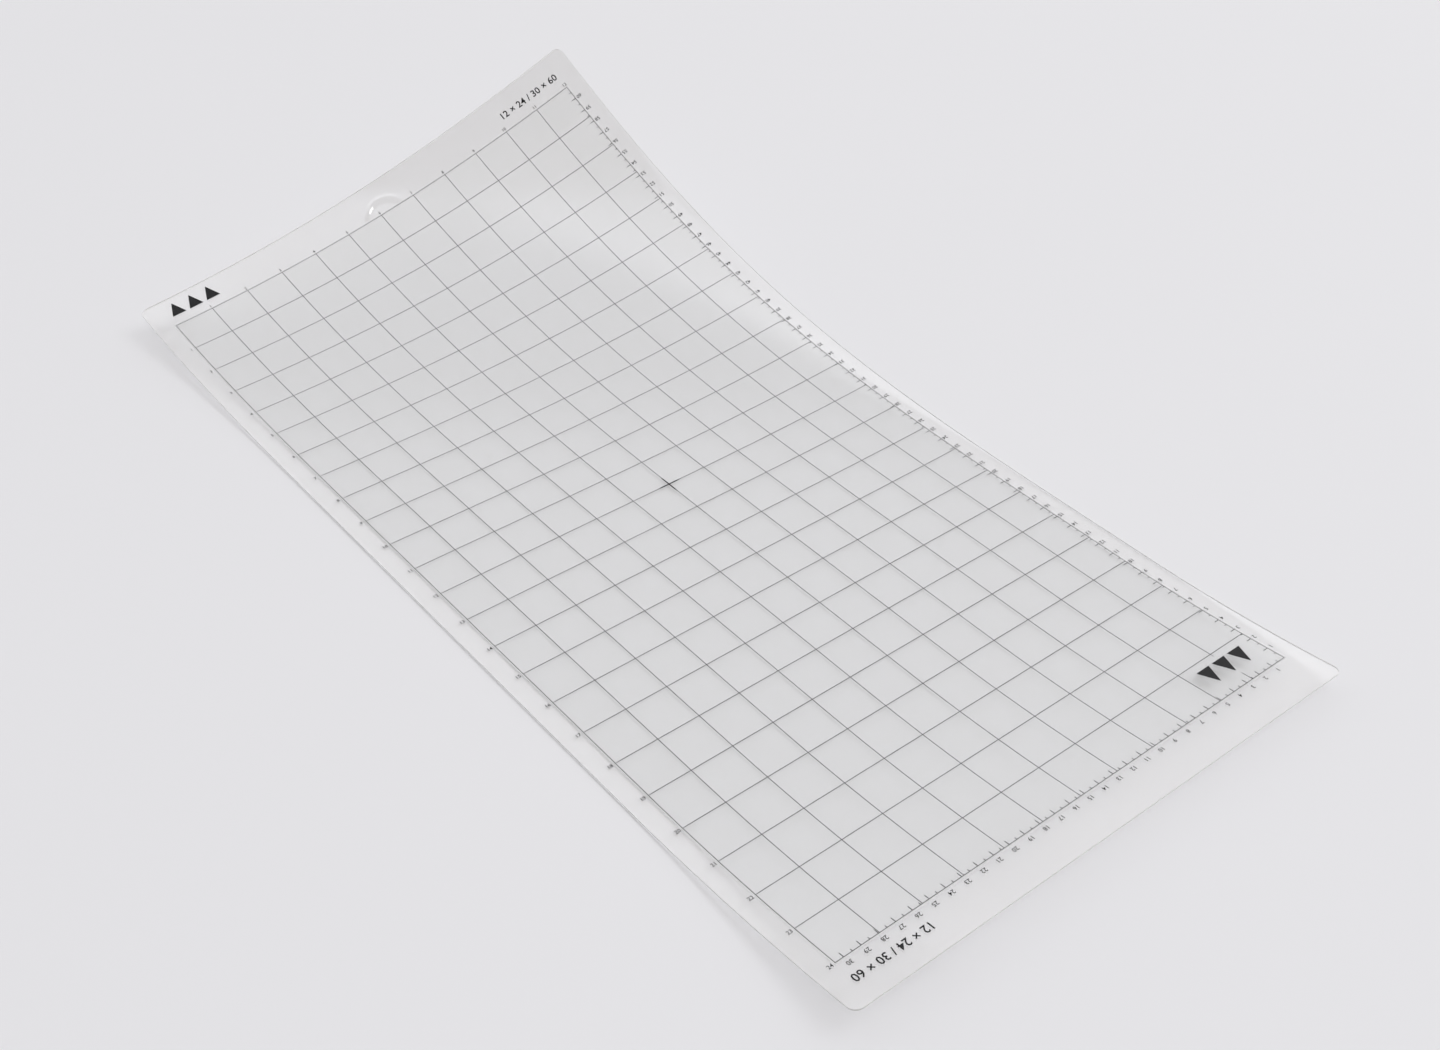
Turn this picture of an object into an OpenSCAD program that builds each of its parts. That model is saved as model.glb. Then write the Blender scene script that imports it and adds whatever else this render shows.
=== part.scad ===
// Flexible see-through grip mat for cutting thin sheet goods: a plastic sheet, a tacky coat on
// its working area, and a printed inch grid with centimetre rulers along two sides.
// +X runs across the mat, +Y runs along it to the back end, +Z is up. The mat lies on Z = 0.
// One back corner curls up off the table and the front end lifts a little, as a mat does
// that was kept rolled.

/* [Grid] */
// Side of one square of the grid, one inch
square = 25.4; // [18:0.1:32]
// Squares across the mat, an even number
columns = 12; // [6:2:14]
// Squares along the mat, an even number
rows = 24; // [12:2:28]
// Width of a printed line
line_w = 0.3; // [0.2:0.05:0.6]
// Thickness of the printed ink
ink_t = 0.05; // [0.04:0.01:0.1]

/* [Sheet] */
// Thickness of the plastic sheet
sheet_t = 0.8; // [0.5:0.05:1.5]
// Bare plastic beside the grid, along each long side
side_margin = 12.6; // [10:0.1:25]
// Bare plastic beyond the grid, at each short end
end_margin = 25.2; // [20:0.1:45]
// Radius of the sheet's rounded corners
corner_r = 5; // [2:0.5:8]

/* [Tacky coat] */
// Thickness of the tacky coat that covers the grid's area
coat_t = 0.15; // [0.1:0.01:0.3]
// How far the coat runs past the middle of the grid's edge lines
coat_over = 1; // [0.5:0.1:4]

/* [Centre mark] */
// Length of each arm of the centre cross
mark_arm = 6.5; // [3:0.1:10]
// Width of the arms of the centre cross
mark_w = 0.75; // [0.5:0.05:1.2]

/* [Centimetre rulers] */
// Length of a tick at a whole centimetre
tick_long = 2.8; // [2:0.1:5]
// Length of a tick at half a centimetre
tick_short = 1.3; // [0.8:0.1:1.9]
// Width of a tick
tick_w = 0.3; // [0.2:0.05:0.5]

/* [Feed arrows] */
// Width of one feed arrow
arrow_w = 9.5; // [5:0.5:11]
// Height of one feed arrow
arrow_h = 11; // [6:0.5:14]
// Distance from one feed arrow to the next
arrow_pitch = 12; // [11.5:0.5:16]
// Middle of the back arrows, in from the grid's left edge
back_arrows_in = 19; // [18:0.5:120]
// Middle of the back arrows, beyond the grid's back edge
back_arrows_beyond = 14; // [9:0.5:17]
// Middle of the front arrows, in from the grid's right edge
front_arrows_in = 26; // [22:0.5:120]
// Middle of the front arrows, behind the grid's front edge
front_arrows_behind = 15; // [12:0.5:17]
// Free room that a grid line leaves in front of and behind the front arrows
arrow_room = 3; // [1:0.5:4]

/* [Curl of the back corner] */
// Way the curl climbs, turned from the mat's length towards its right side, in degrees
curl_turn = 38.3; // [0:0.1:60]
// Where the curl starts, measured that way from the middle of the mat
curl_start = -30; // [-60:1:120]
// Slope that the curl reaches 300 mm from its start, in degrees
curl_slope = 32.5; // [0:0.5:40]

/* [Lift of the front end] */
// Way the front lift climbs, turned from the mat's length towards its left side, in degrees
lift_turn = 6; // [0:0.5:20]
// Where the lift starts, measured that way from the middle of the mat
lift_start = 193; // [120:1:300]
// Radius of the lifted end
lift_r = 920; // [500:10:3000]

/* [Hidden] */

grid_w = columns * square;
grid_l = rows * square;
sheet_w = grid_w + 2 * side_margin;
sheet_l = grid_l + 2 * end_margin;
middle_column = columns / 2;
middle_row = rows / 2;
centimetre = 10;
clear_of_line = line_w / 2;
hair = 0.02;

// Height of the coat's face above the underside, which carries the print
coat_top = sheet_t + coat_t;
// Gap, from the grid's front edge, in the column line that would cross the front arrows
arrow_gap = [for (side = [-1, 1]) front_arrows_behind + side * (arrow_h / 2 + arrow_room)];

sheet_colour = [0.86, 0.87, 0.87, 0.75];
coat_colour = [0.82, 0.84, 0.84, 0.5];
ink_colour = [0.12, 0.12, 0.13];

// --- The bent surface -------------------------------------------------------------------

curl_way = [sin(curl_turn), cos(curl_turn)];
lift_way = [-sin(lift_turn), -cos(lift_turn)];
degrees = 180 / PI;
// Slope in radians is curl_rate * s^2 at the distance s from the curl's start
curl_rate = curl_slope / degrees / pow(300, 2);

// Sine and cosine of an evenly tightening curl, summed along it (Fresnel's integrals)
function curl_run(s) = let (a = pow(curl_rate * s * s, 2))
    s * (1 - a / 10 + a * a / 216 - a * a * a / 9360);
function curl_rise(s) = let (c = curl_rate * s * s, a = c * c)
    s * c * (1 / 3 - a / 42 + a * a / 1320 - a * a * a / 75600);
function past(p, way, start) = max(0, p * way - start);

// Point of the underside above the flat sheet's point p, and the way up from it
function foot(p) = let (
    s = past(p, curl_way, curl_start),
    q = past(p, lift_way, lift_start),
    tilt = q / lift_r * degrees,
    shift = (curl_run(s) - s) * curl_way + (lift_r * sin(tilt) - q) * lift_way
) [p.x + shift.x, p.y + shift.y, curl_rise(s) + lift_r * (1 - cos(tilt))];
function upward(p) = let (
    s = past(p, curl_way, curl_start),
    q = past(p, lift_way, lift_start),
    slope = curl_rate * s * s * degrees,
    tilt = q / lift_r * degrees,
    lean = -sin(slope) * curl_way - sin(tilt) * lift_way
) [lean.x, lean.y, cos(slope) * cos(tilt)];

// --- The net of flat facets that stands for the bent surface ---------------------------

facets_per_square = 2;
net_x = concat(
    [-sheet_w / 2],
    [for (i = [0:columns]) (i - middle_column) * square],
    [sheet_w / 2]
);
net_y = concat(
    [-sheet_l / 2, -(sheet_l + grid_l) / 4],
    [for (j = [0:rows * facets_per_square]) (j / facets_per_square - middle_row) * square],
    [(sheet_l + grid_l) / 4, sheet_l / 2]
);
net_foot = [for (y = net_y) [for (x = net_x) foot([x, y])]];
net_up = [for (y = net_y) [for (x = net_x) upward([x, y])]];

function cell(list, v) = max(0, min(len(list) - 2, len([for (q = list) if (q <= v) q]) - 1));
function share(list, i, v) = (v - list[i]) / (list[i + 1] - list[i]);
function on_facet(net, i, j, a, b) = a + b <= 1
    ? net[j][i] + a * (net[j][i + 1] - net[j][i]) + b * (net[j + 1][i] - net[j][i])
    : net[j + 1][i + 1] + (1 - a) * (net[j + 1][i] - net[j + 1][i + 1])
        + (1 - b) * (net[j][i + 1] - net[j + 1][i + 1]);

// Point at the height h above the underside, over the flat sheet's point p
function place(p, h) = let (
    i = cell(net_x, p.x),
    j = cell(net_y, p.y),
    a = share(net_x, i, p.x),
    b = share(net_y, j, p.y)
) on_facet(net_foot, i, j, a, b) + h * on_facet(net_up, i, j, a, b);

// --- Solids that follow the sheet --------------------------------------------------------

// A layer between two heights. patch is a list of rows of flat points: each row runs
// to the right, and the rows follow each other to the back.
module layer(patch, low, high) {
    n = len(patch);
    m = len(patch[0]);
    points = [for (h = [low, high]) for (row = patch) for (p = row) place(p, h)];
    top = n * m;
    cells = [for (i = [0:n - 2]) for (j = [0:m - 2]) i * m + j];
    rim = concat(
        [for (j = [0:m - 2]) [j, j + 1]],
        [for (i = [0:n - 2]) [(i + 1) * m - 1, (i + 2) * m - 1]],
        [for (j = [m - 1:-1:1]) [(n - 1) * m + j, (n - 1) * m + j - 1]],
        [for (i = [n - 1:-1:1]) [i * m, (i - 1) * m]]
    );
    polyhedron(points, concat(
        [for (c = cells) [c + 1, c + m, c]],
        [for (c = cells) [c + 1, c + m + 1, c + m]],
        [for (c = cells) [top + c, top + c + m, top + c + 1]],
        [for (c = cells) [top + c + m, top + c + m + 1, top + c + 1]],
        [for (e = rim) [e[0], top + e[0], top + e[1]]],
        [for (e = rim) [e[0], top + e[1], e[1]]]
    ));
}

// A printed bar on the coat, between two flat points that lie along X or along Y
module bar(from, to, width) {
    half = width / 2;
    along_y = abs(to.y - from.y) > abs(to.x - from.x);
    list = along_y ? net_y : net_x;
    a = along_y ? from.y : from.x;
    b = along_y ? to.y : to.x;
    stops = concat([a], [for (v = list) if (v > a + half && v < b - half) v], [b]);
    patch = along_y
        ? [for (v = stops) [[from.x - half, v], [from.x + half, v]]]
        : [for (side = [-half, half]) [for (v = stops) [v, from.y + side]]];
    layer(patch, coat_top, coat_top + ink_t);
}

// --- Sub-parts ---------------------------------------------------------------------------

// Half the sheet's width at a distance d from its end, which the round corners narrow
function half_width(d) = sheet_w / 2 - corner_r
    + (d < corner_r ? sqrt(pow(corner_r, 2) - pow(corner_r - d, 2)) : corner_r);

module base_sheet() {
    corner_rows = [for (a = [0:15:90]) corner_r * (1 - cos(a))];
    ys = concat(
        [for (d = corner_rows) -sheet_l / 2 + d],
        [for (j = [1:len(net_y) - 2]) net_y[j]],
        [for (k = [len(corner_rows) - 1:-1:0]) sheet_l / 2 - corner_rows[k]]
    );
    inner = [for (i = [1:len(net_x) - 2]) net_x[i]];
    patch = [for (y = ys) let (w = half_width(sheet_l / 2 - abs(y)))
        [for (x = concat([-w], inner, [w])) [x, y]]];
    color(sheet_colour) layer(patch, 0, sheet_t);
}

module grip_coat() {
    half_w = grid_w / 2 + coat_over;
    half_l = grid_l / 2 + coat_over;
    xs = concat([-half_w], [for (x = net_x) if (abs(x) < half_w) x], [half_w]);
    ys = concat([-half_l], [for (y = net_y) if (abs(y) < half_l) y], [half_l]);
    color(coat_colour) layer([for (y = ys) [for (x = xs) [x, y]]], sheet_t, coat_top);
}

// One line for each column edge. The middle one stops at the centre cross, and the last but
// one stops at the feed arrows.
module print_long_lines() {
    front = -grid_l / 2 - clear_of_line;
    back = grid_l / 2 + clear_of_line;
    color(ink_colour) for (i = [0:columns]) {
        x = (i - middle_column) * square;
        gap = i == middle_column ? [-mark_arm, mark_arm]
            : i == columns - 1 ? [for (g = arrow_gap) g - grid_l / 2]
            : [];
        if (gap == []) {
            bar([x, front], [x, back], line_w);
        } else {
            bar([x, front], [x, gap[0]], line_w);
            bar([x, gap[1]], [x, back], line_w);
        }
    }
}

// One line for each row edge, in pieces that fit between the long lines
module print_cross_lines() {
    color(ink_colour) for (j = [0:rows]) for (i = [0:columns - 1]) {
        y = (j - middle_row) * square;
        left = (i - middle_column) * square;
        centre_row = j == middle_row;
        start = centre_row && i == middle_column ? mark_arm : clear_of_line;
        stop = centre_row && i == middle_column - 1 ? mark_arm : clear_of_line;
        bar([left + start, y], [left + square - stop, y], line_w);
    }
}

// The side arms stop a hair short of the long bar, so that each bar is a solid of its own
module print_centre_mark() {
    side_start = mark_w / 2 + hair;
    color(ink_colour) {
        bar([0, -mark_arm], [0, mark_arm], mark_w);
        bar([-mark_arm, 0], [-side_start, 0], mark_w);
        bar([side_start, 0], [mark_arm, 0], mark_w);
    }
}

function tick_length(k) = k % 2 == 0 ? tick_long : tick_short;

// Ticks every half centimetre on the right edge line, counted from the front
module print_side_cm_ticks() {
    x = grid_w / 2 - clear_of_line;
    color(ink_colour) for (k = [1:floor((grid_l - tick_w) / centimetre * 2)]) {
        y = -grid_l / 2 + k * centimetre / 2;
        bar([x - tick_length(k), y], [x, y], tick_w);
    }
}

// Ticks every half centimetre on the front edge line, counted from the right
module print_front_cm_ticks() {
    y = -grid_l / 2 + clear_of_line;
    color(ink_colour) for (k = [1:floor((grid_w - tick_w) / centimetre * 2)]) {
        x = grid_w / 2 - k * centimetre / 2;
        bar([x, y], [x, y + tick_length(k)], tick_w);
    }
}

// Three solid arrow heads in a row, printed on the face at the height low. Each points to
// the back where front_half is the wider half, and to the front where back_half is.
module arrow_group(middle, front_half, back_half, low) {
    for (k = [-1:1]) {
        x = middle.x + k * arrow_pitch;
        patch = [
            [for (side = [-1, 1]) [x + side * front_half, middle.y - arrow_h / 2]],
            [for (side = [-1, 1]) [x + side * back_half, middle.y + arrow_h / 2]]
        ];
        layer(patch, low, low + ink_t);
    }
}

// The back arrows lie on the bare margin and the front ones on the coat
module print_feed_arrows() {
    base = arrow_w / 2;
    tip = tick_w / 2;
    back_middle = [-grid_w / 2 + back_arrows_in, grid_l / 2 + back_arrows_beyond];
    front_middle = [grid_w / 2 - front_arrows_in, -grid_l / 2 + front_arrows_behind];
    color(ink_colour) {
        arrow_group(back_middle, base, tip, sheet_t);
        arrow_group(front_middle, tip, base, coat_top);
    }
}

base_sheet();
grip_coat();
print_long_lines();
print_cross_lines();
print_centre_mark();
print_side_cm_ticks();
print_front_cm_ticks();
print_feed_arrows();
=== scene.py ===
"""A see-through grip mat for cutting thin sheet goods: the frosted sheet, its tacky coat, and
the printed inch grid with its rulers, numbers and feed arrows, lying on a pale table."""
import math

import bmesh
import bpy
import numpy as np
from bpy.props import FloatProperty, FloatVectorProperty, IntProperty, PointerProperty
from mathutils import Matrix, Vector


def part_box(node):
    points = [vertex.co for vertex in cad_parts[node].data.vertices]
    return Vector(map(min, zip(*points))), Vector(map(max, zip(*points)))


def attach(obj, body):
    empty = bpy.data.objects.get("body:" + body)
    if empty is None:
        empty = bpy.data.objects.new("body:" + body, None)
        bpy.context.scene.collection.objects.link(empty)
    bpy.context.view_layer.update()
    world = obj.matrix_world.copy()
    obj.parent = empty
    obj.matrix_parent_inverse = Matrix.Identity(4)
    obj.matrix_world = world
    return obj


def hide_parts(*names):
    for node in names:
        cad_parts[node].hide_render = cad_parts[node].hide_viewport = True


bl_info = {
    "name": "Grip Mat",
    "version": (1, 0, 0),
    "blender": (4, 5, 0),
    "location": "View3D > Sidebar > Grip Mat",
    "description": "Builds a flexible grip mat with its printed grid and rulers",
    "category": "Object",
}

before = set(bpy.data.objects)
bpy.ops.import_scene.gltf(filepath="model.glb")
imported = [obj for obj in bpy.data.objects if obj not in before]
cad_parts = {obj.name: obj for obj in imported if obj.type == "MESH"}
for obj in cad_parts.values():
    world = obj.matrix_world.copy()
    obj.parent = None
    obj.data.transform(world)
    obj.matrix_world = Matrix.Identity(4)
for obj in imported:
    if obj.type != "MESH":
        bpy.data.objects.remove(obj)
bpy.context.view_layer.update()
MM = 0.001
CENTIMETRE = 10 * MM
# Print starts a little inside the face that carries it, so that no two faces coincide
SINK = 0.02 * MM
# Width over which the coat's edge steps down to the bare sheet
COAT_FOOT = 0.1 * MM
# How far a piece may stand off the box of its solid
OFF_SOLID = 1.0 * MM
# The table lies this far below the mat
TABLE_GAP = 0.3 * MM
# How much a number's strokes are thickened, as a share of the font's size
THIN = 0.006
BOLD = 0.012


# --- Node graphs -------------------------------------------------------------------------

class Wire:
    """A socket in a node tree. Arithmetic on it adds Math nodes to the tree."""

    def __init__(self, tree, socket):
        self.tree = tree
        self.socket = socket

    def math(self, operation, *values):
        sockets = dict(enumerate(values))
        return Graph(self.tree).node("ShaderNodeMath", {"operation": operation}, sockets)[0]

    def __add__(self, other):
        return self.math("ADD", self, other)

    def __radd__(self, other):
        return self.math("ADD", other, self)

    def __sub__(self, other):
        return self.math("SUBTRACT", self, other)

    def __rsub__(self, other):
        return self.math("SUBTRACT", other, self)

    def __mul__(self, other):
        return self.math("MULTIPLY", self, other)

    def __rmul__(self, other):
        return self.math("MULTIPLY", other, self)

    def __truediv__(self, other):
        return self.math("DIVIDE", self, other)

    def __rtruediv__(self, other):
        return self.math("DIVIDE", other, self)

    def __neg__(self):
        return self.math("MULTIPLY", self, -1.0)

    def __abs__(self):
        return self.math("ABSOLUTE", self)

    def sin(self):
        return self.math("SINE", self)

    def cos(self):
        return self.math("COSINE", self)

    def sqrt(self):
        return self.math("SQRT", self)

    def most(self, other):
        return self.math("MAXIMUM", self, other)

    def above(self, other):
        return self.math("GREATER_THAN", self, other)

    def ease(self, low, high, start=0.0, end=1.0):
        """Runs smoothly from start to end while this value runs from low to high."""
        settings = {"interpolation_type": "SMOOTHSTEP", "clamp": True}
        sockets = {"Value": self, "From Min": low, "From Max": high, "To Min": start, "To Max": end}
        return Graph(self.tree).node("ShaderNodeMapRange", settings, sockets)[0]


class Node:
    """A placed node, whose outputs are wires by their name or number."""

    def __init__(self, tree, node):
        self.tree = tree
        self.node = node

    def __getitem__(self, key):
        return Wire(self.tree, self.node.outputs[key])


class Graph:
    """Adds nodes to a tree."""

    def __init__(self, tree):
        self.tree = tree

    def node(self, kind, settings=None, sockets=None):
        """One node of a kind. Its settings come first, then the values or links of its sockets."""
        node = self.tree.nodes.new(kind)
        for key, value in (settings or {}).items():
            setattr(node, key, value)
        for key, value in (sockets or {}).items():
            for item in value if isinstance(value, list) else [value]:
                if isinstance(item, Wire):
                    self.tree.links.new(item.socket, node.inputs[key])
                else:
                    node.inputs[key].default_value = item
        return Node(self.tree, node)

    def mix(self, factor, first, second):
        """A colour between two colours."""
        node = self.node("ShaderNodeMix", {"data_type": "RGBA"})
        named = {s.identifier: s for s in node.node.inputs}
        for identifier, value in (("Factor_Float", factor), ("A_Color", first), ("B_Color", second)):
            if isinstance(value, Wire):
                self.tree.links.new(value.socket, named[identifier])
            else:
                named[identifier].default_value = value
        out = next(s for s in node.node.outputs if s.identifier == "Result_Color")
        return Wire(self.tree, out)

    def noise(self, vector, scale, detail=2.0, roughness=0.5):
        sockets = {"Vector": vector, "Scale": scale, "Detail": detail, "Roughness": roughness}
        return self.node("ShaderNodeTexNoise", {}, sockets)["Fac"]


class Builder(Graph):
    """A Geometry Nodes tree with a geometry input, named inputs and a geometry output."""

    def __init__(self, name):
        super().__init__(bpy.data.node_groups.new(name, "GeometryNodeTree"))
        face = self.tree.interface
        face.new_socket("Geometry", in_out="INPUT", socket_type="NodeSocketGeometry")
        face.new_socket("Geometry", in_out="OUTPUT", socket_type="NodeSocketGeometry")

    def input(self, name, kind="Float"):
        self.tree.interface.new_socket(name, in_out="INPUT", socket_type="NodeSocket" + kind)

    def start(self):
        return self.node("NodeGroupInput")

    def finish(self, geometry):
        self.node("NodeGroupOutput", {}, {"Geometry": geometry})
        return self.tree


def add_modifier(piece, tree, values):
    """Puts a Geometry Nodes tree on a piece, with its inputs set by the sockets' identifiers."""
    modifier = piece.modifiers.new(tree.name, "NODES")
    modifier.node_group = tree
    identifiers = {
        item.name: item.identifier
        for item in tree.interface.items_tree
        if item.item_type == "SOCKET" and item.in_out == "INPUT"
    }
    for name, value in values.items():
        modifier[identifiers[name]] = value


# --- Sizes and finishes that a user changes ---------------------------------------------------

def length(name, value, description, low=0.0):
    return FloatProperty(
        name=name, description=description, default=value * MM, min=low, unit="LENGTH", precision=5)


def angle(name, value, description):
    return FloatProperty(name=name, description=description, default=math.radians(value), unit="ROTATION")


def amount(name, value, description):
    return FloatProperty(
        name=name, description=description, default=value, min=0.0, max=1.0, subtype="FACTOR")


def colour(name, value, description):
    return FloatVectorProperty(
        name=name, description=description, default=(*value, 1.0), size=4,
        min=0.0, max=1.0, subtype="COLOR")


class GripMatSheetSizes(bpy.types.PropertyGroup):
    """The plastic sheet and its tacky coat."""
    square: length("Square", 25.4, "Side of one square of the grid")
    columns: IntProperty(name="Columns", description="Squares across the mat", default=12, min=2)
    rows: IntProperty(name="Rows", description="Squares along the mat", default=24, min=2)
    side_margin: length("Side margin", 12.6, "Bare plastic beside the grid")
    end_margin: length("End margin", 25.2, "Bare plastic beyond the grid at each short end")
    thickness: length("Thickness", 0.8, "Thickness of the plastic sheet")
    corner_radius: length("Corner radius", 5.0, "Radius of the sheet's rounded corners")
    edge_round: length("Edge rounding", 0.12, "Rounding of the cut edges")
    net: length("Net", 5.0, "Size of one face of the sheet's mesh")
    coat_thickness: length("Coat thickness", 0.15, "Thickness of the tacky coat")
    coat_over: length("Coat overhang", 1.0, "How far the coat runs past the middle of the edge lines")


class GripMatBend(bpy.types.PropertyGroup):
    """How the sheet curls up from the table."""
    curl_turn: angle("Curl direction", 38.3, "Way the curl climbs, turned from the length to the right")
    curl_start: length("Curl start", -30.0, "Where the curl starts, from the middle of the mat", low=-1.0)
    curl_reach: length("Curl reach", 300.0, "Distance over which the curl reaches its slope")
    curl_slope: angle("Curl slope", 32.5, "Slope that the curl has at its reach")
    lift_turn: angle("Lift direction", 6.0, "Way the front lift climbs, turned from the length to the left")
    lift_start: length("Lift start", 193.0, "Where the front lift starts, from the middle of the mat")
    lift_radius: length("Lift radius", 920.0, "Radius of the lifted front end")
    crease_height: length("Crease height", 1.25, "Height of the thumb crease in the back margin")
    crease_radius: length("Crease radius", 13.0, "Radius of the thumb crease's arc")
    crease_width: length("Crease width", 3.6, "Width of the thumb crease's ridge")
    crease_across: length("Crease across", 3.7, "From the mat's middle to the crease, to the right")
    crease_in: length("Crease in", 1.7, "From the grid's back edge forward to the crease's centre")


class GripMatPrint(bpy.types.PropertyGroup):
    """The printed grid, rulers, numbers and arrows."""
    ink: length("Ink", 0.05, "Thickness of the printed ink")
    line: length("Line", 0.3, "Width of a grid line")
    mark_arm: length("Centre mark arm", 6.5, "Length of each arm of the centre cross")
    mark_line: length("Centre mark line", 0.75, "Width of the centre cross's arms")
    tick_long: length("Long tick", 2.8, "Length of a tick at a whole centimetre")
    tick_short: length("Short tick", 1.3, "Length of a tick at half a centimetre")
    tick_line: length("Tick line", 0.4, "Width of a tick")
    inch_number: length("Inch number", 2.2, "Height of an inch number")
    inch_left: length("Inch number, left", 2.9, "From the grid's left edge out to its numbers")
    inch_back: length("Inch number, back", 2.4, "From the grid's back edge out to its numbers")
    centimetre_number: length("Centimetre number", 2.5, "Height of a centimetre number")
    centimetre_right: length("Centimetre number, right", 2.9, "From the right edge out to its numbers")
    centimetre_front: length("Centimetre number, front", 3.7, "From the front edge out to its numbers")
    size_number: length("Size number", 4.8, "Height of the numbers that give the grid's size")
    size_back_in: length("Back size, in", 24.0, "From the grid's right edge in to the back size numbers")
    size_back_out: length("Back size, out", 10.5, "From the grid's back edge out to the back size numbers")
    size_front_in: length("Front size, in", 22.0, "From the grid's left edge in to the front size numbers")
    size_front_out: length("Front size, out", 11.4, "From the grid's front edge out to the size numbers")
    arrow_width: length("Arrow width", 9.5, "Width of one feed arrow")
    arrow_height: length("Arrow height", 11.0, "Height of one feed arrow")
    arrow_pitch: length("Arrow pitch", 12.0, "Distance from one feed arrow to the next")
    arrow_room: length("Arrow room", 3.0, "Free room that a grid line leaves beside the front arrows")
    back_arrows_in: length("Back arrows, in", 19.0, "From the grid's left edge in to the back arrows")
    back_arrows_out: length("Back arrows, out", 14.0, "From the grid's back edge out to the back arrows")
    front_arrows_in: length("Front arrows, in", 26.0, "From the grid's right edge in to the front arrows")
    front_arrows_up: length("Front arrows, up", 15.0, "From the grid's front edge back to the front arrows")


class GripMatFinish(bpy.types.PropertyGroup):
    """Colours and finishes."""
    sheet_colour: colour("Sheet", (0.75, 0.728, 0.685), "Milky tint of the frosted sheet")
    sheet_cover: amount("Sheet cover", 0.12, "How much one face of the sheet hides what is behind it")
    sheet_rough: amount("Sheet roughness", 0.20, "Roughness of the sheet's bare margins")
    edge_colour: colour("Cut edge", (0.78, 0.785, 0.785), "Tint of the cut edge, which gathers light")
    coat_colour: colour("Coat", (1.0, 0.99, 0.98), "Tint of the tacky coat")
    coat_cover: amount("Coat cover", 0.072, "How much one face of the coat hides what is behind it")
    coat_rough: amount("Coat roughness", 0.42, "Roughness of the tacky coat")
    ink_colour: colour("Ink", (0.010, 0.010, 0.011), "Colour of the printed ink")


class GripMatStudio(bpy.types.PropertyGroup):
    """Table, light and camera."""
    table_colour: colour("Table", (0.815, 0.820, 0.850), "Colour of the table")
    table_size: FloatProperty(
        name="Table size", description="Side of the table", default=12.0, min=1.0, unit="LENGTH")
    room_light: FloatProperty(
        name="Room light", description="Strength of the light all round", default=1.43, min=0.0)
    key_light: FloatProperty(
        name="Key light", description="Power of the soft light from the right", default=2060.0,
        min=0.0, unit="POWER")
    key_size: FloatProperty(
        name="Key size", description="Width of the soft light", default=13.6, min=0.1, unit="LENGTH")
    key_place: FloatVectorProperty(
        name="Key place", description="Where the soft light stands", default=(10.8, -7.2, 16.0), size=3,
        subtype="TRANSLATION", unit="LENGTH")
    aim: FloatVectorProperty(
        name="Aim", description="Point on the table that the camera looks at",
        default=(-0.0203, -0.0291, 0.0), size=3, subtype="TRANSLATION", unit="LENGTH")
    distance: FloatProperty(
        name="Distance", description="From the camera to its aim", default=0.9536, min=0.1, unit="LENGTH")
    azimuth: angle("Azimuth", -38.76, "Way the camera stands round the mat")
    elevation: angle("Elevation", 39.26, "How steeply the camera looks down")
    roll: angle("Roll", 0.63, "Tilt of the camera about its line of sight")
    lens: FloatProperty(
        name="Lens", description="Focal length in millimetres on a 36 mm sensor", default=43.26)
    shift: FloatProperty(name="Shift", description="Sideways shift of the lens", default=0.0328)


class GripMat(bpy.types.PropertyGroup):
    """Everything that shapes the grip mat."""
    sheet: PointerProperty(type=GripMatSheetSizes, name="Sheet")
    bend: PointerProperty(type=GripMatBend, name="Bend")
    print: PointerProperty(type=GripMatPrint, name="Print")
    finish: PointerProperty(type=GripMatFinish, name="Finish")
    studio: PointerProperty(type=GripMatStudio, name="Studio")


class Layout:
    """Sizes that follow from the user's sizes. Flat points have their origin in the mat's middle."""

    def __init__(self, mat):
        sheet, ink = mat.sheet, mat.print
        self.grid_w = sheet.columns * sheet.square
        self.grid_l = sheet.rows * sheet.square
        self.sheet_w = self.grid_w + 2 * sheet.side_margin
        self.sheet_l = self.grid_l + 2 * sheet.end_margin
        self.left, self.right = -self.grid_w / 2, self.grid_w / 2
        self.front, self.back = -self.grid_l / 2, self.grid_l / 2
        self.coat_top = sheet.thickness + sheet.coat_thickness
        self.back_arrows = (self.left + ink.back_arrows_in, self.back + ink.back_arrows_out)
        self.front_arrows = (self.right - ink.front_arrows_in, self.front + ink.front_arrows_up)
        reach = ink.arrow_height / 2 + ink.arrow_room
        self.arrow_gap = (self.front_arrows[1] - reach, self.front_arrows[1] + reach)

    def column(self, index, mat):
        return (index - mat.sheet.columns / 2) * mat.sheet.square

    def row(self, index, mat):
        return (index - mat.sheet.rows / 2) * mat.sheet.square


# --- The bend, shared by every piece ------------------------------------------------------------

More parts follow.
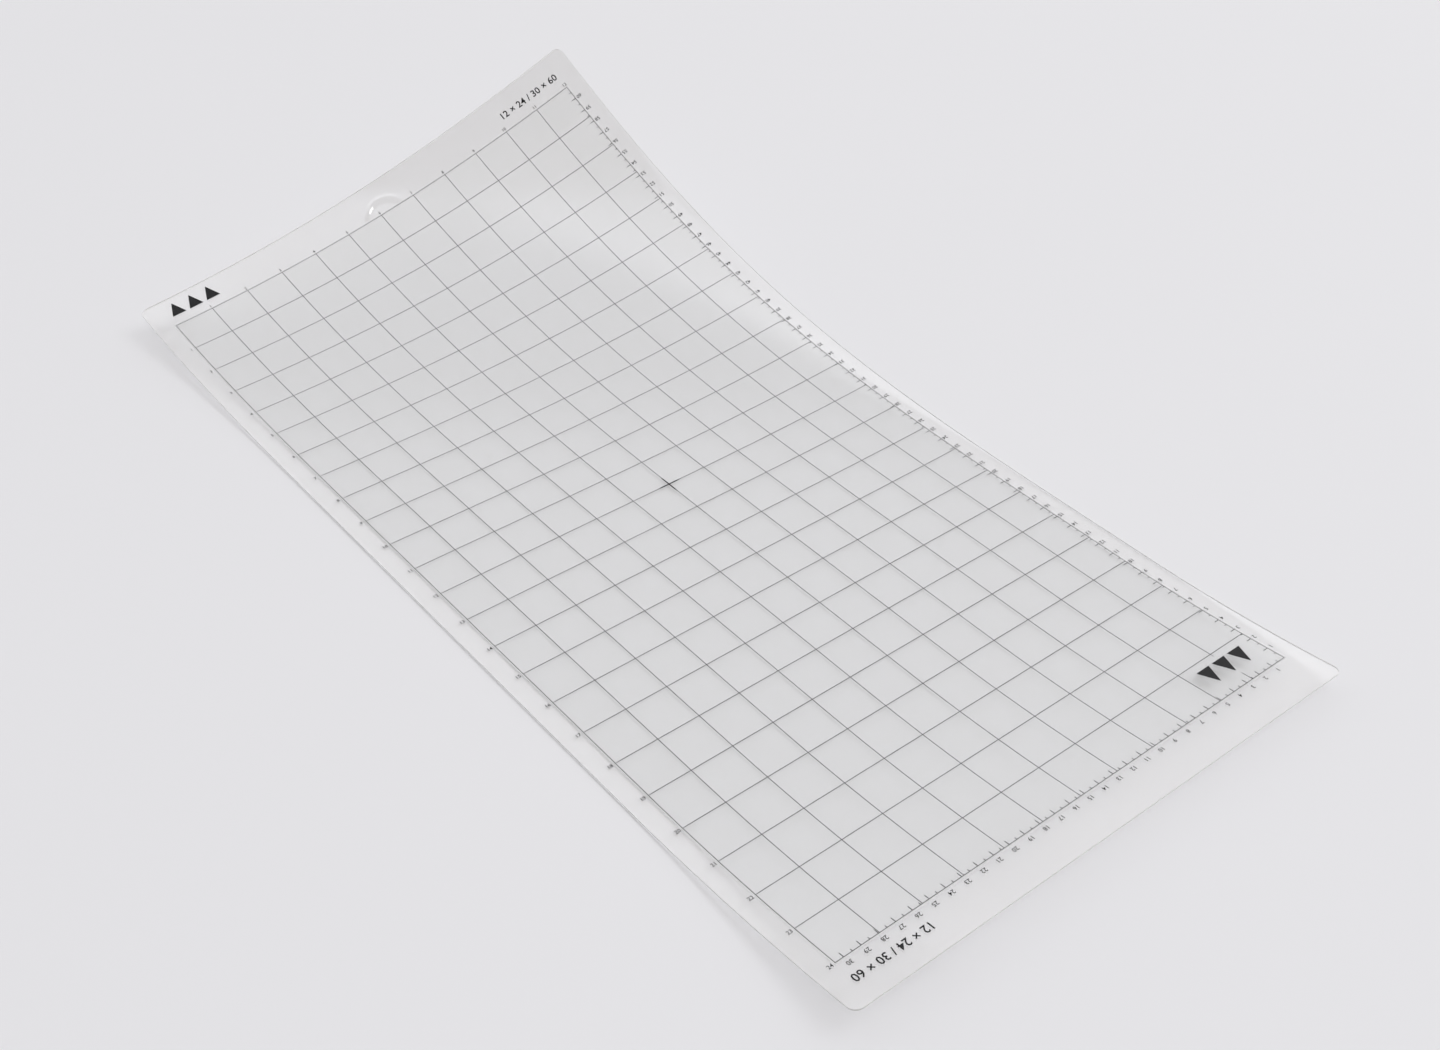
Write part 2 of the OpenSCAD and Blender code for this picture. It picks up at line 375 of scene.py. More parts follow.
def bend_tree():
    """Lays a flat piece on the curled sheet: its height above zero becomes height above the underside."""
    made = bpy.data.node_groups.get("Bend to the curl")
    if made:
        return made
    b = Builder("Bend to the curl")
    for name in ("Curl Direction", "Curl Start", "Curl Rate",
                 "Lift Direction", "Lift Start", "Lift Radius"):
        b.input(name)
    for name in ("Material", "Edge Material", "Coat Material"):
        b.input(name, "Material")
    put = b.start()
    place = b.node("ShaderNodeSeparateXYZ", {}, {0: b.node("GeometryNodeInputPosition")[0]})
    x, y, height = place[0], place[1], place[2]
    curl_x, curl_y = put["Curl Direction"].sin(), put["Curl Direction"].cos()
    lift_x, lift_y = -put["Lift Direction"].sin(), -put["Lift Direction"].cos()

    # Sine and cosine of an evenly tightening curl, summed along it
    s = (x * curl_x + y * curl_y - put["Curl Start"]).most(0.0)
    slope = put["Curl Rate"] * s * s
    a = slope * slope
    run = s * (1.0 - a / 10.0 + a * a / 216.0 - a * a * a / 9360.0)
    rise = s * slope * (1.0 / 3.0 - a / 42.0 + a * a / 1320.0 - a * a * a / 75600.0)

    q = (x * lift_x + y * lift_y - put["Lift Start"]).most(0.0)
    tilt = q / put["Lift Radius"]
    swing = put["Lift Radius"] * tilt.sin() - q
    out_x = x + (run - s) * curl_x + swing * lift_x
    out_y = y + (run - s) * curl_y + swing * lift_y
    out_z = rise + put["Lift Radius"] * (1.0 - tilt.cos())
    lean_x = -(slope.sin() * curl_x) - tilt.sin() * lift_x
    lean_y = -(slope.sin() * curl_y) - tilt.sin() * lift_y
    upright = slope.cos() * tilt.cos()
    bent = b.node("ShaderNodeCombineXYZ", {}, {
        0: out_x + height * lean_x, 1: out_y + height * lean_y, 2: out_z + height * upright})[0]
    flat = b.node("GeometryNodeStoreNamedAttribute", {"data_type": "FLOAT_VECTOR", "domain": "POINT"}, {
        "Geometry": put["Geometry"], "Name": "flat", "Value": b.node("GeometryNodeInputPosition")[0]})
    moved = b.node("GeometryNodeSetPosition", {}, {"Geometry": flat["Geometry"], "Position": bent})
    plain = b.node("GeometryNodeRealizeInstances", {}, {"Geometry": moved["Geometry"]})
    coated = b.node("GeometryNodeSetMaterial", {}, {
        "Geometry": plain["Geometry"], "Material": put["Material"]})
    for name, material in (("cut_edge", "Edge Material"), ("coated", "Coat Material")):
        chosen = b.node("GeometryNodeInputNamedAttribute", {"data_type": "BOOLEAN"}, {"Name": name})
        coated = b.node("GeometryNodeSetMaterial", {}, {
            "Geometry": coated["Geometry"], "Selection": chosen[0], "Material": put[material]})
    return b.finish(coated["Geometry"])


def bend_values(mat, material, edge_material=None, coat_material=None):
    bend = mat.bend
    return {
        "Curl Direction": bend.curl_turn, "Curl Start": bend.curl_start,
        "Curl Rate": bend.curl_slope / bend.curl_reach ** 2,
        "Lift Direction": bend.lift_turn, "Lift Start": bend.lift_start,
        "Lift Radius": bend.lift_radius, "Material": material,
        "Edge Material": edge_material or material, "Coat Material": coat_material or material,
    }


def bars_tree():
    """A printed bar on every point, as wide and as long as the point's own size."""
    made = bpy.data.node_groups.get("Bars on points")
    if made:
        return made
    b = Builder("Bars on points")
    b.input("Stops Across", "Int")
    b.input("Stops Along", "Int")
    b.input("Low")
    b.input("High")
    put = b.start()
    bar = b.node("GeometryNodeMeshCube", {}, {
        "Vertices X": put["Stops Across"], "Vertices Y": put["Stops Along"]})
    size = b.node("GeometryNodeInputNamedAttribute", {"data_type": "FLOAT_VECTOR"}, {"Name": "size"})
    part = b.node("ShaderNodeSeparateXYZ", {}, {0: size[0]})
    scale = b.node("ShaderNodeCombineXYZ", {}, {0: part[0], 1: part[1], 2: put["High"] - put["Low"]})
    lift = b.node("ShaderNodeCombineXYZ", {}, {2: (put["High"] + put["Low"]) / 2.0})
    points = b.node("GeometryNodeSetPosition", {}, {"Geometry": put["Geometry"], "Offset": lift[0]})
    bars = b.node("GeometryNodeInstanceOnPoints", {}, {
        "Points": points["Geometry"], "Instance": bar["Mesh"], "Scale": scale[0]})
    plain = b.node("GeometryNodeRealizeInstances", {}, {"Geometry": bars["Instances"]})
    return b.finish(plain["Geometry"])


def thicken_tree():
    """Gives a flat net a thickness, stands the thumb crease up out of it and raises the coat's face."""
    made = bpy.data.node_groups.get("Thicken the net")
    if made:
        return made
    b = Builder("Thicken the net")
    for name in ("Low", "Thickness", "Crease X", "Crease Y", "Crease Radius", "Crease Width",
                 "Crease Height", "Coat Half Width", "Coat Half Length", "Coat Thickness"):
        b.input(name)
    put = b.start()

    def place():
        return b.node("ShaderNodeSeparateXYZ", {}, {0: b.node("GeometryNodeInputPosition")[0]})

    at = place()
    x, y = at[0] - put["Crease X"], at[1] - put["Crease Y"]
    # A ridge along an arc, which fades out to both ends of the arc
    far = (x * x + y * y).sqrt()
    ridge = abs(far - put["Crease Radius"]).ease(0.0, put["Crease Width"], 1.0, 0.0)
    upper = (y / put["Crease Radius"]).ease(0.15, 0.85)
    offset = b.node("ShaderNodeCombineXYZ", {}, {2: put["Low"] + ridge * upper * put["Crease Height"]})
    shaped = b.node("GeometryNodeSetPosition", {}, {"Geometry": put["Geometry"], "Offset": offset[0]})
    under = b.node("GeometryNodeFlipFaces", {}, {0: shaped["Geometry"]})
    up = b.node("ShaderNodeCombineXYZ", {}, {2: put["Thickness"]})
    slab = b.node("GeometryNodeExtrudeMesh", {"mode": "FACES"}, {
        "Mesh": shaped["Geometry"], "Offset": up[0], "Offset Scale": 1.0, "Individual": False})
    joined = b.node("GeometryNodeJoinGeometry", {}, {0: [under[0], slab["Mesh"]]})
    closed = b.node("GeometryNodeMergeByDistance", {}, {"Geometry": joined[0], "Distance": 1e-6})
    rimmed = b.node("GeometryNodeStoreNamedAttribute", {"data_type": "BOOLEAN", "domain": "FACE"}, {
        "Geometry": closed["Geometry"], "Name": "cut_edge", "Value": slab["Side"]})
    at = place()
    inside_x = (put["Coat Half Width"] - abs(at[0])).above(-1e-6)
    inside_y = (put["Coat Half Length"] - abs(at[1])).above(-1e-6)
    inside = inside_x * inside_y
    top = inside * at[2].above(put["Low"] + put["Thickness"] * 0.5)
    covered = b.node("GeometryNodeStoreNamedAttribute", {"data_type": "BOOLEAN", "domain": "FACE"}, {
        "Geometry": rimmed["Geometry"], "Name": "coated", "Value": top.above(0.5)})
    raised = b.node("ShaderNodeCombineXYZ", {}, {2: top * put["Coat Thickness"]})
    coated = b.node("GeometryNodeSetPosition", {}, {"Geometry": covered["Geometry"], "Offset": raised[0]})
    return b.finish(coated["Geometry"])


# --- Finishes --------------------------------------------------------------------------------

def new_material(name, build, *values):
    """A material whose nodes are placed by build, made once."""
    material = bpy.data.materials.get(name)
    if material:
        return material
    material = bpy.data.materials.new(name)
    material.use_nodes = True
    material.node_tree.nodes.clear()
    g = Graph(material.node_tree)
    g.node("ShaderNodeOutputMaterial", {}, {"Surface": build(g, *values)})
    return material


def object_place(g):
    return g.node("ShaderNodeTexCoord")["Object"]


def stretched(g, vector, scale):
    return g.node("ShaderNodeMapping", {}, {"Vector": vector, "Scale": scale})["Vector"]


def bump(g, height, strength, distance):
    sockets = {"Height": height, "Strength": strength, "Distance": distance}
    return g.node("ShaderNodeBump", {}, sockets)["Normal"]


def shade(value, factor):
    """The same colour, lighter or darker."""
    return (*(min(1.0, c * factor) for c in value[:3]), 1.0)


def frosted_sheet(g, mat):
    """Milky plastic: fine frosting, faint rolling streaks along the sheet and cloudy haze.

    The face covers little, and its gloss fades with its cover. A high IOR makes up for that."""
    finish = mat.finish
    place = object_place(g)
    haze = g.noise(place, 20.0, 3.0)
    streaks = g.noise(stretched(g, place, (1.0, 0.03, 1.0)), 260.0, 2.0)
    frosting = g.noise(place, 1500.0, 2.0, 0.6)
    dull, fresh = shade(finish.sheet_colour, 0.975), shade(finish.sheet_colour, 1.015)
    tint = g.mix(haze.ease(0.32, 0.7), dull, fresh)
    rough = finish.sheet_rough + (haze - 0.5) * 0.10 + (streaks - 0.5) * 0.06
    cover = finish.sheet_cover + (haze - 0.5) * 0.06 + (frosting - 0.5) * 0.05
    relief = frosting * 0.5 + streaks * 0.5
    return g.node("ShaderNodeBsdfPrincipled", {}, {
        "Base Color": tint, "Roughness": rough, "Alpha": cover, "IOR": 1.55,
        "Coat Weight": 1.0, "Coat Roughness": 0.08, "Coat IOR": 4.4,
        "Normal": bump(g, relief, 0.12, 0.0002)})[0]


def cut_edge(g, mat):
    """The sheet's cut edge, which gathers light and shows slight knife marks."""
    place = object_place(g)
    marks = g.noise(stretched(g, place, (1.0, 1.0, 0.05)), 900.0, 2.0)
    tint = g.mix(marks, shade(mat.finish.edge_colour, 0.92), shade(mat.finish.edge_colour, 1.06))
    return g.node("ShaderNodeBsdfPrincipled", {}, {
        "Base Color": tint, "Roughness": 0.30 + marks * 0.2, "Alpha": 0.85, "IOR": 1.49,
        "Normal": bump(g, marks, 0.2, 0.0001)})[0]


def tacky_coat(g, mat):
    """The sheet under a clear sticky film: orange peel, wiping marks and a few caught flecks of lint."""
    finish = mat.finish
    place = object_place(g)
    peel = g.noise(place, 330.0, 2.0)
    wipes = g.noise(stretched(g, place, (0.35, 1.0, 1.0)), 28.0, 3.0, 0.55)
    lint = g.noise(stretched(g, place, (1.0, 0.45, 1.0)), 190.0, 1.0).above(0.79)
    tint = g.mix(lint, finish.coat_colour, shade(finish.coat_colour, 0.80))
    rough = finish.coat_rough + (wipes - 0.5) * 0.16
    cover = finish.coat_cover + (wipes - 0.5) * 0.04 + lint * 0.35
    return g.node("ShaderNodeBsdfPrincipled", {}, {
        "Base Color": tint, "Roughness": rough, "Alpha": cover, "IOR": 1.45,
        "Coat Weight": 1.0, "Coat Roughness": 0.25, "Coat IOR": 6.0,
        "Normal": bump(g, peel * 0.6 + wipes * 0.4, 0.10, 0.0003)})[0]


def printed_ink(g, mat):
    """Flat black screen print, a little uneven where the ink is thin."""
    place = object_place(g)
    mottle = g.noise(place, 900.0, 3.0, 0.6)
    tint = g.mix(mottle.ease(0.35, 0.75), mat.finish.ink_colour, shade(mat.finish.ink_colour, 2.2))
    return g.node("ShaderNodeBsdfPrincipled", {}, {
        "Base Color": tint, "Roughness": 0.55 + mottle * 0.15, "Specular IOR Level": 0.2,
        "Normal": bump(g, mottle, 0.15, 0.0001)})[0]


def table_top(g, mat):
    """Plain pale table, faintly uneven."""
    place = object_place(g)
    wash = g.noise(place, 1.4, 2.0)
    tint = g.mix(wash, shade(mat.studio.table_colour, 0.992), shade(mat.studio.table_colour, 1.008))
    return g.node("ShaderNodeBsdfPrincipled", {}, {"Base Color": tint, "Roughness": 0.9})[0]


# --- Making pieces -----------------------------------------------------------------------------

def new_piece(name, mesh):
    piece = bpy.data.objects.new(name, mesh)
    bpy.context.scene.collection.objects.link(piece)
    return piece


def bake(piece):
    """Turns what the modifiers make into the piece's own plain mesh."""
    graph = bpy.context.evaluated_depsgraph_get()
    mesh = bpy.data.meshes.new_from_object(
        piece.evaluated_get(graph), preserve_all_data_layers=True, depsgraph=graph)
    mesh.name = piece.name
    piece.modifiers.clear()
    piece.data = mesh
    mesh.shade_smooth()
    mesh.set_sharp_from_angle(angle=math.radians(25))
    if not len(mesh.polygons):
        raise RuntimeError(f"{piece.name} came out empty")
    return piece


def hand_over(piece, slot, *nodes):
    """Ties a finished piece to the body and hides the solids that it stands for. Its slot is not used."""
    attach(piece, "root")
    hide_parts(*nodes)


def check_against(piece, node):
    """Stops if a piece has left the space of the solid that it stands for."""
    points = np.empty(len(piece.data.vertices) * 3)
    piece.data.vertices.foreach_get("co", points)
    points = points.reshape(-1, 3)
    low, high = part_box(node)
    off = max(float(np.abs(points.min(0) - low).max()), float(np.abs(points.max(0) - high).max()))
    if off > OFF_SOLID:
        raise RuntimeError(f"{piece.name} is {off / MM:.2f} mm off the box of {node}")


def flat_net(name, rows):
    """A flat mesh through rows of points, which run to the right and follow each other to the back."""
    wide = len(rows[0])
    points = [(x, y, 0.0) for row in rows for x, y in row]
    faces = [
        (i * wide + j, i * wide + j + 1, (i + 1) * wide + j + 1, (i + 1) * wide + j)
        for i in range(len(rows) - 1) for j in range(wide - 1)
    ]
    mesh = bpy.data.meshes.new(name)
    mesh.from_pydata(points, [], faces)
    return mesh


def spread(low, high, step):
    count = max(1, round((high - low) / step))
    return [low + (high - low) * i / count for i in range(count + 1)]


def bend_piece(piece, mat, material):
    add_modifier(piece, bend_tree(), bend_values(mat, material))
    return bake(piece)


def bars(name, mat, items, low, stop):
    """One mesh of printed bars. Each item is a bar's middle, width across and length along."""
    mesh = bpy.data.meshes.new(name)
    mesh.from_pydata([(x, y, 0.0) for x, y, _, _ in items], [], [])
    size = mesh.attributes.new("size", "FLOAT_VECTOR", "POINT")
    size.data.foreach_set("vector", [v for _, _, w, h in items for v in (w, h, 1.0)])
    piece = new_piece(name, mesh)
    longest_x = max(w for _, _, w, _ in items)
    longest_y = max(h for _, _, _, h in items)
    add_modifier(piece, bars_tree(), {
        "Stops Across": 1 + max(1, math.ceil(longest_x / stop)),
        "Stops Along": 1 + max(1, math.ceil(longest_y / stop)),
        "Low": low - SINK, "High": low + mat.print.ink})
    return bend_piece(piece, mat, new_material("printed_ink", printed_ink, mat))


class GRIPMAT_OT_sheet(bpy.types.Operator):
    """Make the frosted sheet with its round corners and thumb crease, and the tacky coat on it"""
    bl_idname = "gripmat.sheet"
    bl_label = "Sheet and tacky coat"

    def execute(self, context):
        mat = context.scene.grip_mat
        sheet, bend, at = mat.sheet, mat.bend, Layout(mat)
        radius = sheet.corner_radius
        foot = COAT_FOOT
        coat_w = at.grid_w / 2 + sheet.coat_over - foot
        coat_l = at.grid_l / 2 + sheet.coat_over - foot

        def stations(end, start_of_corner, coat):
            """Places from one end to the other, with a pair where the coat's edge steps down."""
            outer = spread(coat + foot, start_of_corner, sheet.net)
            return [-v for v in reversed(outer)] + spread(-coat, coat, sheet.net) + outer

        corner = [radius * (1 - math.cos(math.radians(15 * i))) for i in range(6)]
        xs = stations(at.sheet_w / 2, at.sheet_w / 2, coat_w)
        ys = stations(at.sheet_l / 2, at.sheet_l / 2 - radius, coat_l)
        ys = [-at.sheet_l / 2 + d for d in corner] + ys + [at.sheet_l / 2 - d for d in reversed(corner)]
        rows = []
        for y in ys:
            d = min(at.sheet_l / 2 - abs(y), radius)
            half = at.sheet_w / 2 - radius + math.sqrt(max(0.0, radius ** 2 - (radius - d) ** 2))
            rows.append([(x * half / (at.sheet_w / 2), y) for x in xs])
        mesh = flat_net("coated_sheet", rows)
        crease = Vector((bend.crease_across, at.back - bend.crease_in, 0.0))
        reach = bend.crease_radius + 2 * bend.crease_width + sheet.net
        work = bmesh.new()
        work.from_mesh(mesh)
        near = [e for e in work.edges
                if all((v.co - crease).length < reach and v.co.y > coat_l + foot / 2 for v in e.verts)]
        bmesh.ops.subdivide_edges(work, edges=near, cuts=5, use_grid_fill=True)
        work.to_mesh(mesh)
        work.free()
        piece = new_piece("coated_sheet", mesh)
        plastic = new_material("frosted_sheet", frosted_sheet, mat)
        edge = new_material("cut_edge", cut_edge, mat)
        film = new_material("tacky_coat", tacky_coat, mat)
        add_modifier(piece, thicken_tree(), {
            "Low": 0.0, "Thickness": sheet.thickness, "Crease X": crease.x, "Crease Y": crease.y,
            "Crease Radius": bend.crease_radius, "Crease Width": bend.crease_width,
            "Crease Height": bend.crease_height, "Coat Half Width": coat_w, "Coat Half Length": coat_l,
            "Coat Thickness": sheet.coat_thickness})
        rounding = piece.modifiers.new("Edge rounding", "BEVEL")
        rounding.width = sheet.edge_round
        rounding.segments = 2
        rounding.limit_method = "ANGLE"
        rounding.angle_limit = math.radians(60)
        add_modifier(piece, bend_tree(), bend_values(mat, plastic, edge, film))
        bake(piece)
        check_against(piece, "base_sheet")
        hand_over(piece, "clear_sheet", "base_sheet", "grip_coat")
        return {"FINISHED"}


class GRIPMAT_OT_grid(bpy.types.Operator):
    """Print the inch grid: the long lines, and the cross lines between them"""
    bl_idname = "gripmat.grid"
    bl_label = "Grid lines"

    def execute(self, context):
        mat = context.scene.grip_mat
        sheet, ink, at = mat.sheet, mat.print, Layout(mat)
        half = ink.line / 2
        middle = sheet.columns / 2
        long_lines = []
        for i in range(sheet.columns + 1):
            x = at.column(i, mat)
            ends = [at.front - half, at.back + half]
            if i == middle:
                ends[1:1] = [-ink.mark_arm, ink.mark_arm]
            elif i == sheet.columns - 1:
                ends[1:1] = list(at.arrow_gap)
            for low, high in zip(ends[::2], ends[1::2]):
                long_lines.append((x, (low + high) / 2, ink.line, high - low))
        cross_lines = []
        for j in range(sheet.rows + 1):
            for i in range(sheet.columns):
                marked = j == sheet.rows / 2
                low = at.column(i, mat) + (ink.mark_arm if marked and i == middle else half)
                high = at.column(i + 1, mat) - (ink.mark_arm if marked and i == middle - 1 else half)
                cross_lines.append(((low + high) / 2, at.row(j, mat), high - low, ink.line))
        for name, items, node in (
                ("printed_long_lines", long_lines, "print_long_lines"),
                ("printed_cross_lines", cross_lines, "print_cross_lines")):
            piece = bars(name, mat, items, at.coat_top, sheet.net)
            check_against(piece, node)
            hand_over(piece, "print_ink", node)
        return {"FINISHED"}


class GRIPMAT_OT_centre_mark(bpy.types.Operator):
    """Print the bold cross in the middle of the grid"""
    bl_idname = "gripmat.centre_mark"
    bl_label = "Centre mark"

    def execute(self, context):
        mat = context.scene.grip_mat
        ink, at = mat.print, Layout(mat)
        side = ink.mark_arm - ink.mark_line / 2 - SINK
        middle = ink.mark_arm - side / 2
        items = [(0.0, 0.0, ink.mark_line, 2 * ink.mark_arm)]
        items += [(way * middle, 0.0, side, ink.mark_line) for way in (-1, 1)]
        piece = bars("printed_centre_mark", mat, items, at.coat_top, mat.sheet.net)
        check_against(piece, "print_centre_mark")
        hand_over(piece, "print_ink", "print_centre_mark")
        return {"FINISHED"}


class GRIPMAT_OT_rulers(bpy.types.Operator):
    """Print the centimetre ticks along the right and front edges of the grid"""
    bl_idname = "gripmat.rulers"
    bl_label = "Centimetre ticks"

    def execute(self, context):
        mat = context.scene.grip_mat
        ink, at = mat.print, Layout(mat)
        half = ink.line / 2

        def ticks(run):
            """The place along the ruler and the reach of a tick at each half centimetre."""
            step = CENTIMETRE / 2
            count = int((run - ink.tick_line) / step)
            return [(k * step, ink.tick_long if k % 2 == 0 else ink.tick_short)
                    for k in range(1, count + 1)]

        side = [(at.right - half - reach / 2, at.front + way, reach, ink.tick_line)
                for way, reach in ticks(at.grid_l)]
        front = [(at.right - way, at.front + half + reach / 2, ink.tick_line, reach)
                 for way, reach in ticks(at.grid_w)]
        for name, items, node in (
                ("printed_side_ticks", side, "print_side_cm_ticks"),
                ("printed_front_ticks", front, "print_front_cm_ticks")):
            piece = bars(name, mat, items, at.coat_top, mat.sheet.net)
            check_against(piece, node)
            hand_over(piece, "print_ink", node)
        return {"FINISHED"}


def write_numbers(name, mat, items, low, weight):
    """One mesh of printed numbers. Each item is its text, middle, height and turn in degrees."""
    made = {}
    for text in sorted({item[0] for item in items} | {"0"}):
        curve = bpy.data.curves.new(name, "FONT")
        curve.body = text
        curve.resolution_u = 2
        curve.offset = weight
        curve.fill_mode = "BOTH"
        curve.extrude = 0.5
        made[text] = new_piece(name, curve)
    bpy.context.view_layer.update()
    graph = bpy.context.evaluated_depsgraph_get()
    glyphs = {}
    for text, source in made.items():
        mesh = bpy.data.meshes.new_from_object(source.evaluated_get(graph))
        work = bmesh.new()
        work.from_mesh(mesh)
        bmesh.ops.remove_doubles(work, verts=work.verts, dist=1e-5)
        bmesh.ops.dissolve_limit(work, angle_limit=math.radians(2), verts=work.verts, edges=work.edges)
        bmesh.ops.triangulate(work, faces=work.faces)
        bmesh.ops.recalc_face_normals(work, faces=work.faces)
        work.to_mesh(mesh)
        work.free()
        points = np.array([v.co for v in mesh.vertices])
        middle = (points.min(0) + points.max(0)) / 2
        mesh.transform(Matrix.Translation(-Vector(middle)))
        glyphs[text] = (mesh, points.max(0) - points.min(0))
        bpy.data.objects.remove(source)
    tall = glyphs["0"][1][1]
    thick = mat.print.ink + SINK
    work = bmesh.new()
    for text, x, y, height, turn in items:
        part = glyphs[text][0].copy()
        scale = height / tall
        part.transform(
            Matrix.Translation((x, y, low - SINK + thick / 2))
            @ Matrix.Rotation(math.radians(turn), 4, "Z")
            @ Matrix.Diagonal((scale, scale, thick, 1.0)))
        work.from_mesh(part)
    mesh = bpy.data.meshes.new(name)
    work.to_mesh(mesh)
    work.free()
    piece = new_piece(name, mesh)
    return bend_piece(piece, mat, new_material("printed_ink", printed_ink, mat))


class GRIPMAT_OT_numbers(bpy.types.Operator):
    """Print the inch and centimetre numbers round the grid, and its size beside two corners"""
    bl_idname = "gripmat.numbers"
    bl_label = "Numbers"

    def execute(self, context):
        mat = context.scene.grip_mat
        sheet, ink, at = mat.sheet, mat.print, Layout(mat)
        inch, centimetre = ink.inch_number, ink.centimetre_number
        wide, long = int(at.grid_w / CENTIMETRE), int(at.grid_l / CENTIMETRE)
        down = [(str(n), at.left - ink.inch_left, at.row(sheet.rows - n, mat), inch, 0)
                for n in range(1, sheet.rows + 1)]
        across = [(str(n), at.column(n, mat), at.back + ink.inch_back, inch, 0)
                  for n in range(1, sheet.columns + 1)]
        beside = [(str(n), at.right + ink.centimetre_right, at.front + n * CENTIMETRE, centimetre, 180)
                  for n in range(1, long + 1)]
        below = [(str(n), at.right - n * CENTIMETRE, at.front - ink.centimetre_front, centimetre, 180)
                 for n in range(1, wide + 1)]
        size = f"{sheet.columns} × {sheet.rows} / {wide} × {long}"
        sizes = [(size, at.right - ink.size_back_in, at.back + ink.size_back_out, ink.size_number, 0),
                 (size, at.left + ink.size_front_in, at.front - ink.size_front_out, ink.size_number, 180)]
        for name, items, weight in (
                ("printed_inch_numbers_left", down, THIN), ("printed_inch_numbers_back", across, THIN),
                ("printed_cm_numbers_right", beside, THIN), ("printed_cm_numbers_front", below, THIN),
                ("printed_grid_size", sizes, BOLD)):
            piece = write_numbers(name, mat, items, sheet.thickness, weight)
            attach(piece, "root")
        return {"FINISHED"}


class GRIPMAT_OT_arrows(bpy.types.Operator):
    """Print the feed arrows in the back margin and in the front right square"""
    bl_idname = "gripmat.arrows"
    bl_label = "Feed arrows"

    def execute(self, context):
        mat = context.scene.grip_mat
        ink, at = mat.print, Layout(mat)
        tip = ink.tick_line / 2
        groups = ((at.back_arrows, 1, mat.sheet.thickness), (at.front_arrows, -1, at.coat_top))
        work = bmesh.new()
        for (middle_x, middle_y), way, low in groups:
            for k in (-1, 0, 1):
                stops = []
                for share in spread(-0.5, 0.5, 0.125):
                    half = tip + (ink.arrow_width / 2 - tip) * (0.5 - way * share)
                    x, y = middle_x + k * ink.arrow_pitch, middle_y + share * ink.arrow_height
                    stops.append([(x + half * side, y) for side in (-1, -0.5, 0, 0.5, 1)])
                mesh = flat_net("arrow", stops)
                mesh.transform(Matrix.Translation((0, 0, low - mat.sheet.thickness)))
                work.from_mesh(mesh)
        mesh = bpy.data.meshes.new("printed_feed_arrows")
        work.to_mesh(mesh)
        work.free()
        piece = new_piece("printed_feed_arrows", mesh)
        black = new_material("printed_ink", printed_ink, mat)
        add_modifier(piece, thicken_tree(), {
            "Low": mat.sheet.thickness - SINK, "Thickness": ink.ink + SINK, "Crease Radius": 1.0,
            "Crease Width": MM, "Crease Height": 0.0, "Coat Thickness": 0.0})
        bend_piece(piece, mat, black)
        check_against(piece, "print_feed_arrows")
        hand_over(piece, "print_ink", "print_feed_arrows")
        return {"FINISHED"}


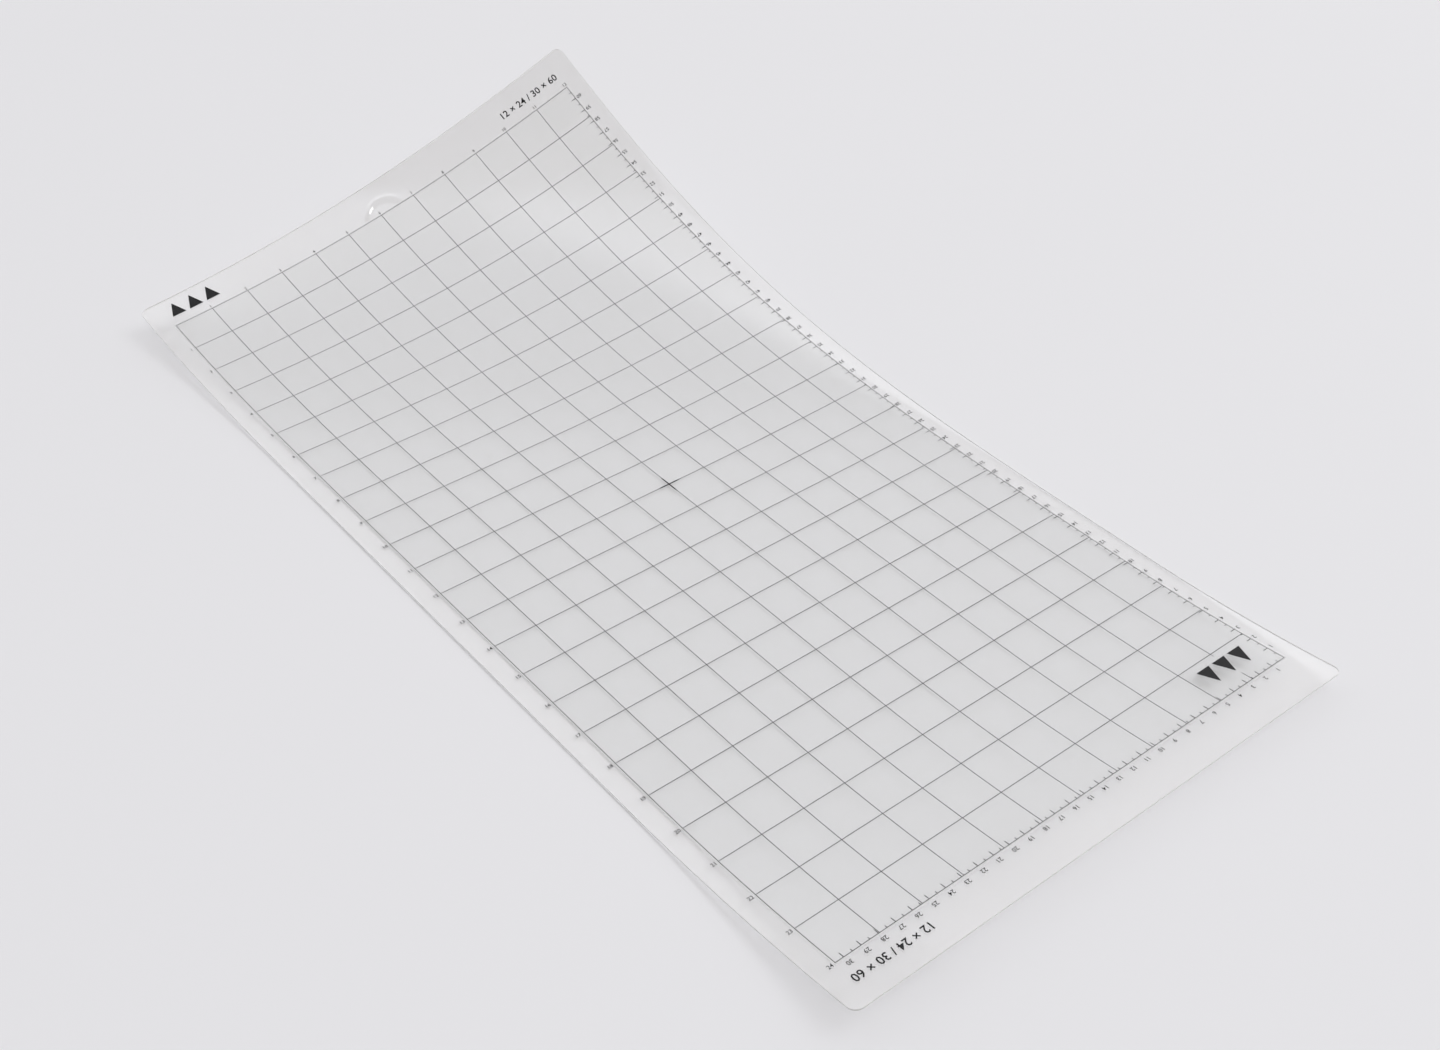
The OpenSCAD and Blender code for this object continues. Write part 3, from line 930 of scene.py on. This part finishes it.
class GRIPMAT_OT_stage(bpy.types.Operator):
    """Set up the table, the soft studio light and the camera"""
    bl_idname = "gripmat.stage"
    bl_label = "Stage"

    def execute(self, context):
        mat = context.scene.grip_mat
        studio, scene = mat.studio, context.scene
        half = studio.table_size / 2
        corners = [[(x, y) for x in (-half, half)] for y in (-half, half)]
        table = new_piece("table", flat_net("table", corners))
        table.data.transform(Matrix.Translation((0, 0, -TABLE_GAP)))
        table.data.materials.append(new_material("table_top", table_top, mat))

        world = bpy.data.worlds.new("soft_room")
        world.use_nodes = True
        world.node_tree.nodes.clear()
        g = Graph(world.node_tree)
        way = g.node("ShaderNodeSeparateXYZ", {}, {0: g.node("ShaderNodeTexCoord")["Generated"]})
        # Bright behind the mat, dimmer overhead, dark brown in front, and pale all round the horizon
        bright, dimmer = (1.0, 1.005, 1.03, 1.0), (0.60, 0.60, 0.61, 1.0)
        dark, horizon = (0.08, 0.06, 0.035, 1.0), (0.62, 0.62, 0.63, 1.0)
        forward = way[0] * -0.62 + way[1] * -0.78
        high = g.mix(forward.ease(-0.09, 0.03), g.mix(forward.ease(-0.62, -0.35), bright, dimmer), dark)
        glow = g.mix(way[2].ease(0.10, 0.28), horizon, high)
        g.node("ShaderNodeOutputWorld", {}, {"Surface": g.node("ShaderNodeBackground", {}, {
            "Color": glow, "Strength": studio.room_light})[0]})
        scene.world = world

        key = bpy.data.lights.new("key_light", "AREA")
        key.shape = "DISK"
        key.size = studio.key_size
        key.energy = studio.key_light
        lamp = bpy.data.objects.new("key_light", key)
        lamp.location = studio.key_place
        lamp.rotation_euler = (-lamp.location).to_track_quat("-Z", "Y").to_euler()
        scene.collection.objects.link(lamp)

        camera_data = bpy.data.cameras.new("camera")
        camera_data.sensor_width = 36.0
        camera_data.lens = studio.lens
        camera_data.shift_x = studio.shift
        camera_data.clip_start = 0.01
        camera = bpy.data.objects.new("camera", camera_data)
        a, e = studio.azimuth, studio.elevation
        back = Vector((math.sin(a) * math.cos(e), -math.cos(a) * math.cos(e), math.sin(e)))
        camera.location = Vector(studio.aim) + back * studio.distance
        turn = (-back).to_track_quat("-Z", "Y").to_matrix() @ Matrix.Rotation(studio.roll, 3, "Z")
        camera.rotation_euler = turn.to_euler()
        scene.collection.objects.link(camera)
        scene.camera = camera
        scene.view_settings.view_transform = "Standard"
        return {"FINISHED"}


class GRIPMAT_PT_panel(bpy.types.Panel):
    """Lists the mat's sizes and pieces in the sidebar"""
    bl_label = "Grip Mat"
    bl_idname = "GRIPMAT_PT_panel"
    bl_space_type = "VIEW_3D"
    bl_region_type = "UI"
    bl_category = "Grip Mat"

    def draw(self, context):
        mat = context.scene.grip_mat
        for operator in OPERATORS:
            self.layout.operator(operator.bl_idname)
        for group in (mat.sheet, mat.bend, mat.print, mat.finish, mat.studio):
            box = self.layout.box()
            for name in group.__annotations__:
                box.prop(group, name)


OPERATORS = (
    GRIPMAT_OT_sheet, GRIPMAT_OT_grid, GRIPMAT_OT_centre_mark,
    GRIPMAT_OT_rulers, GRIPMAT_OT_numbers, GRIPMAT_OT_arrows, GRIPMAT_OT_stage,
)
CLASSES = (
    GripMatSheetSizes, GripMatBend, GripMatPrint, GripMatFinish, GripMatStudio, GripMat,
    *OPERATORS, GRIPMAT_PT_panel,
)


def register():
    for cls in CLASSES:
        bpy.utils.register_class(cls)
    bpy.types.Scene.grip_mat = PointerProperty(type=GripMat)


def unregister():
    del bpy.types.Scene.grip_mat
    for cls in reversed(CLASSES):
        bpy.utils.unregister_class(cls)


def plain(box):
    """A box as plain lists of numbers."""
    return [[float(v) for v in corner] for corner in box]


def main():
    register()
    for operator in OPERATORS:
        name = operator.bl_idname.split(".")[1]
        if getattr(bpy.ops.gripmat, name)() != {"FINISHED"}:
            raise RuntimeError(f"{operator.bl_label} wasn't made")


if __name__ == "__main__":
    main()
